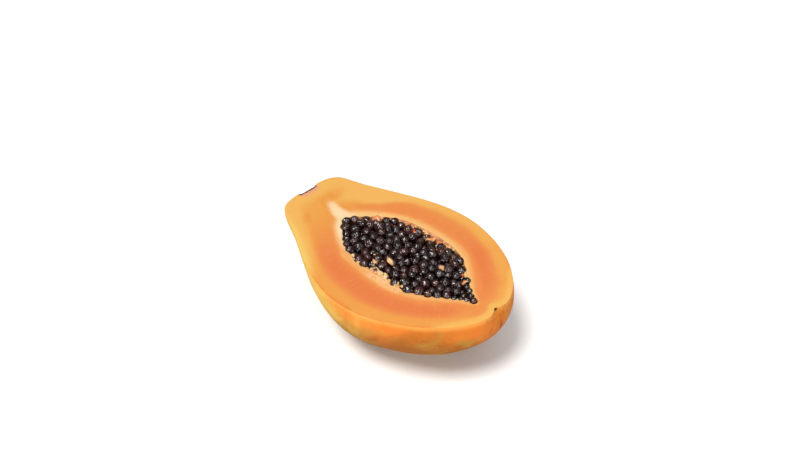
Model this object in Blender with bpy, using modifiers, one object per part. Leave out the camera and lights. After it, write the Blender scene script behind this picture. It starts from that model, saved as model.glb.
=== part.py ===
"""Half of a ripe papaya lying on its back, its cut face up and its seed bed in place.

Metres, +Z up. +X runs from the stem end to the blossom end, and +Y to the thinner side of the flesh.
The fruit is drawn about its own axis, with the cut plane at z = 0, and the finished pieces hang from one
empty that sets the half down: the middle of its bounding box at x = y = 0 and its resting spot at z = 0.
"""

import math

import bmesh
import bpy
import numpy as np

# Driving dimensions
FRUIT_LENGTH = 0.160
FRUIT_HALF_WIDTH = 0.055
CAVITY_HALF_WIDTH = 0.0266
SEED_RADIUS = (0.0026, 0.0033)
SEED_COUNT = 128

# Outer form: station along the axis as a share of the length, radius as a share of the half width.
# It starts in the sunk middle of the stem scar and ends in the pit of the blossom scar.
FRUIT_OUTLINE = (
    (0.006, 0.0), (0.006, 0.075), (0.004, 0.115), (-0.002, 0.145), (-0.003, 0.180), (0.001, 0.27),
    (0.012, 0.37), (0.040, 0.458), (0.088, 0.516), (0.150, 0.582), (0.206, 0.658), (0.294, 0.775),
    (0.375, 0.876), (0.469, 0.962), (0.562, 1.0), (0.650, 0.982), (0.731, 0.916), (0.800, 0.829),
    (0.875, 0.695), (0.931, 0.549), (0.975, 0.391), (1.001, 0.255), (1.010, 0.145), (1.007, 0.064),
    (1.000, 0.02), (0.995, 0.0),
)
OUTLINE_STEPS = 2
AROUND_HALF = 26
SECTION_POWER = 2.2
LOBES = 5
LOBE_HEIGHT = 0.010
BOW = 0.0039
BOW_POWER = 1.3
BLOSSOM_PUSH = 0.005
BLOSSOM_PUSH_START = 0.62
BLOSSOM_PUSH_DEPTH = 0.024
FOOT_SAG = 0.0010

# Seed cavity: blunt toward the stem and drawn out to a point toward the blossom. Half width as a share
# of the cavity's half width. Its middle lies to one side, most of all at its ends.
CAVITY_OUTLINE = (
    (0.250, 0.0), (0.255, 0.10), (0.268, 0.22), (0.296, 0.38), (0.330, 0.56), (0.372, 0.75), (0.425, 0.905),
    (0.487, 0.970), (0.575, 0.998), (0.650, 0.985), (0.700, 0.935), (0.750, 0.810), (0.800, 0.600),
    (0.845, 0.375), (0.885, 0.185), (0.915, 0.080), (0.934, 0.0),
)
CAVITY_STEPS = 2
CAVITY_AROUND = 32
CAVITY_SHIFT = (-0.0040, -0.0012)
CAVITY_DEPTH = 0.95
CAVITY_RIDGE = 0.035

# Seed bed: one crowded layer standing out of a dark core that fills the hollow below it.
SEED_SEED = 11
SEED_STATIONS = (0.262, 0.922)
SEED_WALL_GAP = 0.0004
SEED_SPACE = 0.985
SEED_RISE = (0.0, 0.6)
SEED_SLIMNESS = (0.82, 0.95)
SEED_SIDES = 8
SEED_RINGS = 5
SMALLEST_SEED = 0.0014
CORE_WALL_GAP = 0.0008
CORE_AROUND = 20
CORE_TOP = -0.0017
PACKING_ROUNDS = 220

SKIN_COLOUR = (0.86, 0.47, 0.08)
FLESH_COLOUR = (0.90, 0.36, 0.10)
SEED_COLOUR = (0.020, 0.014, 0.013)


def smooth_through(points, steps):
    """Points on a Catmull-Rom curve through the given ones, with so many steps to each span."""
    points = np.asarray(points, float)
    ends = np.vstack([2 * points[0] - points[1], points, 2 * points[-1] - points[-2]])
    curve = []
    for before, start, end, after in zip(ends, ends[1:], ends[2:], ends[3:]):
        for t in np.arange(steps) / steps:
            curve.append(
                0.5
                * (
                    2 * start
                    + (end - before) * t
                    + (2 * before - 5 * start + 4 * end - after) * t**2
                    + (3 * start - before - 3 * end + after) * t**3
                )
            )
    curve.append(points[-1])
    return np.array(curve)


def ease(value, low, high):
    """0 below low, 1 above high, and a smooth step between them."""
    t = min(max((value - low) / (high - low), 0.0), 1.0)
    return t * t * (3 - 2 * t)


def fruit_profile():
    """Station and radius, in metres, from the stem scar to the blossom scar."""
    shares = smooth_through(FRUIT_OUTLINE, OUTLINE_STEPS)
    return shares * (FRUIT_LENGTH, FRUIT_HALF_WIDTH)


def cavity_profile():
    """Station and half width, in metres, from the blunt end of the hollow to its point."""
    shares = smooth_through(CAVITY_OUTLINE, CAVITY_STEPS)
    return shares * (FRUIT_LENGTH, CAVITY_HALF_WIDTH)


def fruit_point(x, y, z):
    """A point of the plain turned fruit, moved to where it lies on the grown one."""
    share = x / FRUIT_LENGTH
    radius, angle = math.hypot(y, z), math.atan2(z, y)
    lobed = 1 + LOBE_HEIGHT * math.cos(LOBES * (angle + math.pi / 2)) * ease(share, 0.1, 0.5)
    round_part = abs(math.cos(angle)) ** SECTION_POWER + abs(math.sin(angle)) ** SECTION_POWER
    radius *= lobed * round_part ** (-1 / SECTION_POWER)
    bow = BOW * math.sin(math.pi * min(max(share, 0.0), 1.0)) ** BOW_POWER
    depth = -radius * math.sin(angle)
    push = BLOSSOM_PUSH * ease(share, BLOSSOM_PUSH_START, 1.0)
    push *= math.sin(math.pi / 2 * min(max(depth / BLOSSOM_PUSH_DEPTH, 0.0), 1.0))
    return x + push, radius * math.cos(angle) - bow, -depth


def cavity_centre(x):
    """How far the middle of the hollow lies to the side of the axis at this station."""
    first, last = CAVITY_OUTLINE[0][0], CAVITY_OUTLINE[-1][0]
    share = min(max((x / FRUIT_LENGTH - first) / (last - first), 0.0), 1.0)
    at_end, at_middle = CAVITY_SHIFT
    return at_end + (at_middle - at_end) * math.sin(math.pi * share)


def cavity_point(x, y, z):
    """A point of the plain turned hollow, moved to where it lies in the fruit."""
    radius, angle = math.hypot(y, z), math.atan2(z, y)
    ridge = 1 + CAVITY_RIDGE * (math.cos(LOBES * (angle + math.pi / 2)) - 1) * abs(math.sin(angle))
    return x, radius * math.cos(angle) + cavity_centre(x), radius * ridge * CAVITY_DEPTH * math.sin(angle)


def clear_scene():
    for obj in list(bpy.data.objects):
        bpy.data.objects.remove(obj)


def new_collection(name):
    collection = bpy.data.collections.new(name)
    bpy.context.scene.collection.children.link(collection)
    return collection


def new_material(name, colour, roughness):
    material = bpy.data.materials.new(name)
    material.use_nodes = True
    shader = material.node_tree.nodes["Principled BSDF"]
    shader.inputs["Base Color"].default_value = (*colour, 1.0)
    shader.inputs["Roughness"].default_value = roughness
    material.diffuse_color = (*colour, 1.0)
    return material


def turned(name, profile, angle, steps, collection):
    """The profile swept about the X axis by a Screw modifier, as a plain mesh object."""
    mesh = bpy.data.meshes.new(name)
    edges = [(i, i + 1) for i in range(len(profile) - 1)]
    mesh.from_pydata([(x, r, 0.0) for x, r in profile], edges, [])
    obj = bpy.data.objects.new(name, mesh)
    collection.objects.link(obj)
    screw = obj.modifiers.new("turn", "SCREW")
    screw.axis = "X"
    screw.angle = angle
    screw.steps = steps
    screw.render_steps = steps
    screw.use_merge_vertices = True
    screw.merge_threshold = 1e-6
    bake_modifiers(obj)
    return obj


def bake_modifiers(obj):
    """Makes the evaluated shape the object's own mesh and takes its modifiers off."""
    graph = bpy.context.evaluated_depsgraph_get()
    mesh = bpy.data.meshes.new_from_object(obj.evaluated_get(graph))
    obj.modifiers.clear()
    obj.data = mesh


def close_and_turn_out(obj):
    """Joins what meets, fills what is open with one flat face each, and points the faces out."""
    bm = bmesh.new()
    bm.from_mesh(obj.data)
    bmesh.ops.remove_doubles(bm, verts=bm.verts, dist=1e-6)
    rim = [edge for edge in bm.edges if edge.is_boundary]
    if rim:
        bmesh.ops.holes_fill(bm, edges=rim, sides=0)
    bmesh.ops.recalc_face_normals(bm, faces=bm.faces)
    bm.to_mesh(obj.data)
    bm.free()


def move_points(obj, rule):
    for vertex in obj.data.vertices:
        vertex.co = rule(*vertex.co)


def cut(obj, cutter):
    """Takes the cutter's shape out of the object."""
    cutter.hide_render = True
    cutter.display_type = "WIRE"
    boolean = obj.modifiers.new("cut_" + cutter.name, "BOOLEAN")
    boolean.operation = "DIFFERENCE"
    boolean.object = cutter


def block(name, height, collection):
    """A cube as long as the fruit, centred over its length at the given height."""
    bpy.ops.mesh.primitive_cube_add(size=FRUIT_LENGTH, location=(FRUIT_LENGTH / 2, 0.0, height))
    obj = bpy.context.object
    obj.name = name
    obj.users_collection[0].objects.unlink(obj)
    collection.objects.link(obj)
    return obj


def cavity_solid(name, wall_gap, sides, collection):
    """The hollow as a closed body, drawn in from its wall by the gap."""
    profile = cavity_profile()
    if wall_gap:
        profile = profile[profile[:, 1] > 2 * wall_gap]
        profile[:, 1] -= wall_gap
        profile = np.vstack([(profile[0, 0], 0.0), profile, (profile[-1, 0] + wall_gap, 0.0)])
    obj = turned(name, profile, math.tau, sides, collection)
    move_points(obj, cavity_point)
    close_and_turn_out(obj)
    return obj


def make_half_fruit(parts, cutters):
    """Flesh and skin grown as one: the turned lower half, hollowed for the seeds, with a spot to rest on."""
    fruit = turned("papaya_half", fruit_profile(), -math.pi, AROUND_HALF, parts)
    move_points(fruit, fruit_point)
    close_and_turn_out(fruit)
    fruit.data.materials.append(new_material("papaya_skin", SKIN_COLOUR, 0.42))
    fruit.data.materials.append(new_material("papaya_flesh", FLESH_COLOUR, 0.35))
    for face in fruit.data.polygons:
        face.material_index = int(face.normal.z > 0.99 and abs(face.center.z) < 1e-6)

    hollow = cavity_solid("seed_hollow", 0.0, CAVITY_AROUND, cutters)
    hollow.data.materials.append(fruit.data.materials["papaya_flesh"])
    cut(fruit, hollow)

    foot_top = min(vertex.co.z for vertex in fruit.data.vertices) + FOOT_SAG
    foot = block("resting_spot", foot_top - FRUIT_LENGTH / 2, cutters)
    foot.data.materials.append(fruit.data.materials["papaya_skin"])
    cut(fruit, foot)
    bake_modifiers(fruit)
    fruit.data.shade_smooth()
    fruit.data.set_sharp_from_angle(angle=math.radians(35))
    return fruit


def rim_of_hollow():
    """Closely spaced points along the hollow's edge on the cut plane, and their inward normals."""
    profile = smooth_through(CAVITY_OUTLINE, 12) * (FRUIT_LENGTH, CAVITY_HALF_WIDTH)
    middle = np.array([cavity_centre(x) for x in profile[:, 0]])
    slope = np.gradient(profile[:, 1], profile[:, 0])
    long = np.hypot(slope, 1.0)
    points, normals = [], []
    for side in (1.0, -1.0):
        points.append(np.column_stack([profile[:, 0], middle + side * profile[:, 1]]))
        normals.append(np.column_stack([slope / long, -side / long]))
    return np.vstack(points), np.vstack(normals)


def packed_seeds():
    """Seed centres and radii: a seeded scatter that is shaken until the seeds crowd the hollow evenly."""
    rng = np.random.default_rng(SEED_SEED)
    rim, inward = rim_of_hollow()
    profile = cavity_profile()
    low, high = (share * FRUIT_LENGTH for share in SEED_STATIONS)
    spots = []
    while len(spots) < SEED_COUNT:
        x, side, keep = rng.uniform(low, high), rng.uniform(-0.9, 0.9), rng.random()
        half = np.interp(x, profile[:, 0], profile[:, 1])
        if keep < half / CAVITY_HALF_WIDTH:
            spots.append((x, cavity_centre(x) + side * half))
    spots = np.array(spots)
    radii = rng.uniform(*SEED_RADIUS, SEED_COUNT)
    radii *= np.interp(spots[:, 0], (0.80 * FRUIT_LENGTH, high), (1.0, 0.8))
    reach = radii[:, None] + radii[None, :]
    for _ in range(PACKING_ROUNDS):
        apart = spots[:, None] - spots[None, :]
        distance = np.hypot(apart[..., 0], apart[..., 1]) + np.eye(SEED_COUNT)
        overlap = np.clip(reach - distance, 0.0, None) * (1 - np.eye(SEED_COUNT))
        spots += (apart * (overlap / distance)[..., None]).sum(1) * 0.35
        to_rim = spots[:, None] - rim[None, :]
        inside = (to_rim * inward[None]).sum(-1)
        nearest = np.argmin(np.hypot(to_rim[..., 0], to_rim[..., 1]), axis=1)
        rows = np.arange(SEED_COUNT)
        short = np.clip(radii + SEED_WALL_GAP - inside[rows, nearest], 0.0, None)
        spots += inward[nearest] * short[:, None]
        spots[:, 0] = np.clip(spots[:, 0], low, high)
    heights = CORE_TOP + radii * rng.uniform(*SEED_RISE, SEED_COUNT)
    return np.column_stack([spots, heights]), radii


def fitted_radii(centres, radii):
    """The radii, drawn in where a seed would touch its neighbour or the wall of the hollow."""
    wall = []
    for x, half in smooth_through(CAVITY_OUTLINE, 8) * (FRUIT_LENGTH, CAVITY_HALF_WIDTH):
        for angle in np.linspace(0.0, -math.pi, 49):
            wall.append(cavity_point(x, half * math.cos(angle), half * math.sin(angle)))
    wall = np.array(wall)
    fitted = []
    for i, (centre, radius) in enumerate(zip(centres, radii)):
        to_wall = np.linalg.norm(wall - centre, axis=1).min() - SEED_WALL_GAP
        others = np.delete(centres, i, axis=0)
        share = radius / (radius + np.delete(radii, i))
        to_seed = (np.linalg.norm(others - centre, axis=1) * share).min() * SEED_SPACE
        fitted.append(min(radius, to_wall, to_seed))
    return np.array(fitted)


def make_seed_bed(parts, cutters):
    """The seeds, each sunk in the dark core, as one body that stays clear of the flesh."""
    bed = cavity_solid("seeds", CORE_WALL_GAP, CORE_AROUND, parts)
    cut(bed, block("space_over_core", CORE_TOP + FRUIT_LENGTH / 2, cutters))
    bake_modifiers(bed)

    crowd = new_collection("loose_seeds")
    centres, radii = packed_seeds()
    rng = np.random.default_rng(SEED_SEED + 1)
    for centre, radius in zip(centres, fitted_radii(centres, radii)):
        turn, slim = rng.uniform(0.0, math.tau, 3), rng.uniform(*SEED_SLIMNESS, 2)
        if radius < SMALLEST_SEED:
            continue
        bpy.ops.mesh.primitive_uv_sphere_add(
            segments=SEED_SIDES, ring_count=SEED_RINGS, radius=radius, location=centre, rotation=turn
        )
        seed = bpy.context.object
        seed.scale = (slim[0], slim[1], 1.0)
        seed.users_collection[0].objects.unlink(seed)
        crowd.objects.link(seed)
    join = bed.modifiers.new("join_seeds", "BOOLEAN")
    join.solver = "MANIFOLD"
    join.operation = "UNION"
    join.operand_type = "COLLECTION"
    join.collection = crowd
    bake_modifiers(bed)
    for seed in list(crowd.objects):
        bpy.data.objects.remove(seed)
    bpy.data.collections.remove(crowd)
    bed.data.materials.clear()
    bed.data.materials.append(new_material("papaya_seed", SEED_COLOUR, 0.22))
    bed.data.shade_smooth()
    bed.data.set_sharp_from_angle(angle=math.radians(50))
    return bed


def set_down(pieces, fruit, parts):
    """Hangs the pieces from one empty that puts the resting spot at z = 0 under the box's middle."""
    corners = np.array([vertex.co for vertex in fruit.data.vertices])
    low, high = corners.min(axis=0), corners.max(axis=0)
    middle = (low + high) / 2
    holder = bpy.data.objects.new("papaya", None)
    parts.objects.link(holder)
    holder.location = (-middle[0], -middle[1], -low[2])
    for piece in pieces:
        piece.parent = holder


def main():
    clear_scene()
    parts = new_collection("papaya")
    cutters = new_collection("cutters")
    fruit = make_half_fruit(parts, cutters)
    seeds = make_seed_bed(parts, cutters)
    set_down([fruit, seeds], fruit, parts)


main()
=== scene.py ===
"""Looks of half a ripe papaya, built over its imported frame: flesh in its skin, seeds and scraps of tissue."""

import logging
import math
from contextlib import contextmanager
from dataclasses import dataclass, field
from enum import Enum
from typing import Callable, Iterable, Iterator, Sequence

import bpy
import numpy as np
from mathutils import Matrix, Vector, noise
from mathutils.bvhtree import BVHTree


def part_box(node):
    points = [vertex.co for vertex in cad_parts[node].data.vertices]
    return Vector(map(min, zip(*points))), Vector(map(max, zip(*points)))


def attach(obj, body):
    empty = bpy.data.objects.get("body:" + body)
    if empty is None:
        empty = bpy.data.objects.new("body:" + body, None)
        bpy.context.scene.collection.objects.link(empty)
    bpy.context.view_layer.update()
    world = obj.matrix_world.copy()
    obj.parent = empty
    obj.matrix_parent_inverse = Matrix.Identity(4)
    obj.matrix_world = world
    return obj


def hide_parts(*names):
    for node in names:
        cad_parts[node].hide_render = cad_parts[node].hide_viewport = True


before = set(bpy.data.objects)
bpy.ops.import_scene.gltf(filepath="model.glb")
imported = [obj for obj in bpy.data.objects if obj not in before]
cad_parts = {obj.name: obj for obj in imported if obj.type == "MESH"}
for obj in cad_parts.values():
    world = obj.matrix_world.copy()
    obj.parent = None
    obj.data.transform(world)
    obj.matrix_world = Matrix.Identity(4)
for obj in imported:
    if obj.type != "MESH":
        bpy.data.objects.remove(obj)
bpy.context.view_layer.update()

LOG = logging.getLogger("papaya")
MM = 0.001
IN_PLANE = 1e-7
TINY = 1e-9
FLESH_GLOW = (0.008, 0.003, 0.001)
Colour = tuple[float, float, float]
Object = bpy.types.Object


class Region(Enum):
    """The kinds of surface on the half fruit, by their place among its materials."""

    SKIN = 0
    CUT = 1
    HOLLOW = 2


def tone(*channels: int) -> Colour:
    """Turns a colour as a screen shows it, from 0 to 255, into the linear values that a shader takes."""
    shares = [channel / 255 for channel in channels]
    return tuple(s / 12.92 if s <= 0.04045 else ((s + 0.055) / 1.055) ** 2.4 for s in shares)


def ease(value: np.ndarray, low: float, high: float) -> np.ndarray:
    """Makes a smooth step, which is 0 up to the low value and 1 from the high one."""
    share = np.clip((value - low) / (high - low), 0.0, 1.0)
    return share * share * (3 - 2 * share)


def fade(value: np.ndarray, low: float, high: float) -> np.ndarray:
    """Makes a smooth step down, which is 1 up to the low value and 0 from the high one."""
    return 1 - ease(value, low, high)


def hump(value: np.ndarray, start: float, full: float, last: float, end: float) -> np.ndarray:
    """Makes a smooth hump, which rises from start to full and sinks from last to end."""
    return ease(value, start, full) * fade(value, last, end)


def smooth_through(points: Sequence[Sequence[float]], steps: int) -> np.ndarray:
    """Draws a Catmull-Rom curve through points.

    Args:
        points: The points that it passes.
        steps: How many steps each span gets.

    Returns:
        The curve's points, one to a row.
    """
    knots = np.asarray(points, float)
    ends = np.vstack([2 * knots[0] - knots[1], knots, 2 * knots[-1] - knots[-2]])
    curve = []
    for before, start, end, after in zip(ends, ends[1:], ends[2:], ends[3:]):
        for t in np.arange(steps) / steps:
            bend = (2 * before - 5 * start + 4 * end - after) * t**2
            twist = (3 * start - before - 3 * end + after) * t**3
            curve.append(0.5 * (2 * start + (end - before) * t + bend + twist))
    return np.array([*curve, knots[-1]])


def run_along(curve: np.ndarray) -> np.ndarray:
    """Gives how far along a curve each of its points lies."""
    return np.concatenate([[0.0], np.cumsum(np.linalg.norm(np.diff(curve, axis=0), axis=1))])


def spaced(curve: np.ndarray, count: int, crowding: float) -> np.ndarray:
    """Spaces points along a curve, closer together towards its two ends.

    Args:
        curve: The curve's points, one to a row.
        count: How many points are wanted.
        crowding: From 0, evenly spaced, to 1, very close at the ends.

    Returns:
        The points, one to a row.
    """
    along = run_along(curve)
    even = np.linspace(0.0, 1.0, count)
    wanted = even - crowding * np.sin(2 * math.pi * even) / (2 * math.pi)
    return np.column_stack([np.interp(wanted, along / along[-1], values) for values in curve.T])


def lumps(points: np.ndarray, size: float, seed: float) -> np.ndarray:
    """Reads smooth noise at points, from about -1 to 1, with lumps as far apart as the size says."""
    shift = Vector((seed, 3.1 * seed, -1.7 * seed))
    return np.array([noise.noise(Vector(p) / size + shift) for p in points])


def nearest(points: np.ndarray, line: np.ndarray) -> tuple[np.ndarray, np.ndarray]:
    """Finds which point of a line lies nearest to each point.

    Args:
        points: The points, one to a row.
        line: The line's points, one to a row.

    Returns:
        Its row in the line and its distance, for each point.
    """
    rows, gaps = [], []
    for point in points:
        away = np.linalg.norm(line - point, axis=1)
        rows.append(int(np.argmin(away)))
        gaps.append(away[rows[-1]])
    return np.array(rows), np.array(gaps)


@dataclass(frozen=True)
class FruitForm:
    """The grown shape, about the fruit's own axis: x runs from stem to blossom, and the cut is at z = 0."""

    length: float = 160 * MM
    half_width: float = 55 * MM
    outline: tuple = (
        (0.006, 0.0), (0.006, 0.075), (0.004, 0.115), (-0.002, 0.145), (-0.003, 0.180), (0.001, 0.27),
        (0.012, 0.37), (0.040, 0.458), (0.088, 0.516), (0.150, 0.582), (0.206, 0.658), (0.294, 0.775),
        (0.375, 0.876), (0.469, 0.962), (0.562, 1.0), (0.650, 0.982), (0.731, 0.916), (0.800, 0.829),
        (0.875, 0.695), (0.931, 0.549), (0.975, 0.391), (1.001, 0.255), (1.010, 0.145), (1.007, 0.064),
        (1.000, 0.02), (0.995, 0.0),
    )
    section_power: float = 2.2
    lobes: int = 5
    lobe_height: float = 0.010
    bow: float = 3.9 * MM
    bow_power: float = 1.3
    push: float = 5 * MM
    push_start: float = 0.62
    push_depth: float = 24 * MM
    hollow_half_width: float = 26.6 * MM
    hollow_outline: tuple = (
        (0.250, 0.0), (0.255, 0.10), (0.268, 0.22), (0.296, 0.38), (0.330, 0.56), (0.372, 0.75),
        (0.425, 0.905), (0.487, 0.970), (0.575, 0.998), (0.650, 0.985), (0.700, 0.935), (0.750, 0.810),
        (0.800, 0.600), (0.845, 0.375), (0.885, 0.185), (0.915, 0.080), (0.934, 0.0),
    )
    hollow_shift: tuple[float, float] = (-4.0 * MM, -1.2 * MM)
    hollow_depth: float = 0.95
    hollow_ridge: float = 0.035
    curve_steps: int = 16

    def skin(self, profile: np.ndarray, angle: np.ndarray) -> np.ndarray:
        """Places points of the skin.

        Args:
            profile: Station along the axis and radius of each point, in metres.
            angle: Angle of each point about the axis, 0 on the far side and -pi on the near side.

        Returns:
            The points, one to a row.
        """
        x, radius = profile.T
        share = x / self.length
        lobed = 1 + self.lobe_height * np.cos(self.lobes * (angle + math.pi / 2)) * ease(share, 0.1, 0.5)
        power = self.section_power
        rounded = (np.abs(np.cos(angle)) ** power + np.abs(np.sin(angle)) ** power) ** (-1 / power)
        radius = radius * lobed * rounded
        depth = -radius * np.sin(angle)
        push = self.push * ease(share, self.push_start, 1.0)
        push = push * np.sin(math.pi / 2 * np.clip(depth / self.push_depth, 0.0, 1.0))
        bow = self.bow * np.sin(math.pi * np.clip(share, 0.0, 1.0)) ** self.bow_power
        return np.column_stack([x + push, radius * np.cos(angle) - bow, -depth])

    def hollow_middle(self, x: np.ndarray) -> np.ndarray:
        """Tells how far to the side the hollow's middle lies.

        Args:
            x: Stations along the axis, in metres.

        Returns:
            The middle's y at each station.
        """
        first, last = self.hollow_outline[0][0], self.hollow_outline[-1][0]
        share = np.clip((x / self.length - first) / (last - first), 0.0, 1.0)
        at_end, at_middle = self.hollow_shift
        return at_end + (at_middle - at_end) * np.sin(math.pi * share)

    def hollow(self, profile: np.ndarray, angle: np.ndarray) -> np.ndarray:
        """Places points of the hollow's wall.

        Args:
            profile: Station along the axis and radius of each point, in metres.
            angle: Angle of each point about the axis.

        Returns:
            The points, one to a row.
        """
        x, radius = profile.T
        ridge = np.cos(self.lobes * (angle + math.pi / 2)) - 1
        deep = self.hollow_depth * (1 + self.hollow_ridge * ridge * np.abs(np.sin(angle)))
        across = radius * np.cos(angle) + self.hollow_middle(x)
        return np.column_stack([x, across, radius * deep * np.sin(angle)])

    def profile(self, region: Region, count: int) -> np.ndarray:
        """Gives stations and radii along an outline.

        Args:
            region: SKIN or HOLLOW.
            count: How many points are wanted.

        Returns:
            Station and radius, in metres, one point to a row.
        """
        outline, half_width, crowding = {
            Region.SKIN: (self.outline, self.half_width, 0.55),
            Region.HOLLOW: (self.hollow_outline, self.hollow_half_width, 0.25),
        }[region]
        curve = smooth_through(outline, self.curve_steps) * (self.length, half_width)
        return spaced(curve, count, crowding)

    def lines(self, region: Region, count: int, angles: Sequence[float]) -> np.ndarray:
        """Places lines of points from stem to blossom, one line for each angle about the axis."""
        place, profile = self.skin if region is Region.SKIN else self.hollow, self.profile(region, count)
        return np.vstack([place(profile, np.full(count, angle)) for angle in angles])


@dataclass(frozen=True)
class Placing:
    """Carries points from the fruit's own frame to the row's frame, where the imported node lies."""

    shift: np.ndarray

    @classmethod
    def onto(cls, node: str, form: FruitForm) -> "Placing":
        """Lines the form's skin up with a node's box.

        Args:
            node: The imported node's name.
            form: The fruit's form.

        Returns:
            The placing.
        """
        low, high = (np.array(corner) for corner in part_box(node))
        skin = form.lines(Region.SKIN, 160, np.linspace(-math.pi, 0.0, 73))
        shift = (low + high) / 2 - (skin.min(axis=0) + skin.max(axis=0)) / 2
        shift[2] = high[2]
        return cls(shift)

    def move(self, points: np.ndarray) -> np.ndarray:
        """Gives the points in the row's frame."""
        return points + self.shift


class Bench:
    """Small modelling calls that several pieces share."""

    @staticmethod
    def only(obj: Object) -> None:
        """Makes one object the only selected one and the active one."""
        bpy.ops.object.select_all(action="DESELECT")
        obj.select_set(True)
        bpy.context.view_layer.objects.active = obj

    @staticmethod
    @contextmanager
    def editing(obj: Object, action: str) -> Iterator[None]:
        """Opens an object's mesh in edit mode, and closes it when the block ends.

        Args:
            obj: The object.
            action: SELECT or DESELECT, for everything in the mesh.
        """
        Bench.only(obj)
        bpy.ops.object.mode_set(mode="EDIT")
        bpy.ops.mesh.select_all(action=action)
        yield
        bpy.ops.object.mode_set(mode="OBJECT")

    @staticmethod
    def points(obj: Object) -> np.ndarray:
        """Reads an object's mesh points, one to a row."""
        flat = np.zeros(len(obj.data.vertices) * 3)
        obj.data.vertices.foreach_get("co", flat)
        return flat.reshape(-1, 3)

    @staticmethod
    def set_points(obj: Object, points: np.ndarray) -> None:
        """Writes an object's mesh points, one to a row."""
        obj.data.vertices.foreach_set("co", points.astype(np.float32).ravel())
        obj.data.update()

    @staticmethod
    def ring_of(points: np.ndarray, rings: int) -> np.ndarray:
        """Tells on which ring of a unit sphere each point lies, counted from the upper pole."""
        return np.rint(np.arccos(np.clip(points[:, 2], -1.0, 1.0)) / math.pi * rings).astype(int)

    @staticmethod
    def attribute(obj: Object, name: str, values: object) -> None:
        """Stores one number for each mesh point, or the same for all, under a name that materials read."""
        spread = np.full(len(obj.data.vertices), values, np.float32)
        obj.data.attributes.new(name, "FLOAT", "POINT").data.foreach_set("value", spread)

    @staticmethod
    def join(objects: Sequence[Object], name: str) -> Object:
        """Joins objects into the first.

        Args:
            objects: The objects.
            name: The joined object's name.

        Returns:
            The joined object.
        """
        Bench.only(objects[0])
        for obj in objects:
            obj.select_set(True)
        bpy.ops.object.join()
        joined = bpy.context.object
        joined.name = joined.data.name = name
        return joined

    @staticmethod
    def crowd(name: str, shapes: Sequence[Object], spots: Iterable[tuple], label: str) -> Object:
        """Copies shapes to many places, each with its own mesh, and joins the copies.

        Args:
            name: The joined object's name.
            shapes: The shapes, which are deleted afterwards.
            spots: Shape, place, turn, size and stored number of each copy.
            label: The name under which that number is stored.

        Returns:
            The joined object, smooth and unscaled.
        """
        copies = []
        for shape, place, turn, size, value in spots:
            copy = shape.copy()
            copy.data = shape.data.copy()
            bpy.context.scene.collection.objects.link(copy)
            copy.location, copy.rotation_euler, copy.scale = place, turn, (size, size, size)
            Bench.attribute(copy, label, value)
            copies.append(copy)
        for shape in shapes:
            bpy.data.objects.remove(shape)
        crowd = Bench.join(copies, name)
        Bench.only(crowd)
        bpy.ops.object.transform_apply(location=True, rotation=True, scale=True)
        bpy.ops.object.shade_smooth()
        return crowd


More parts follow.
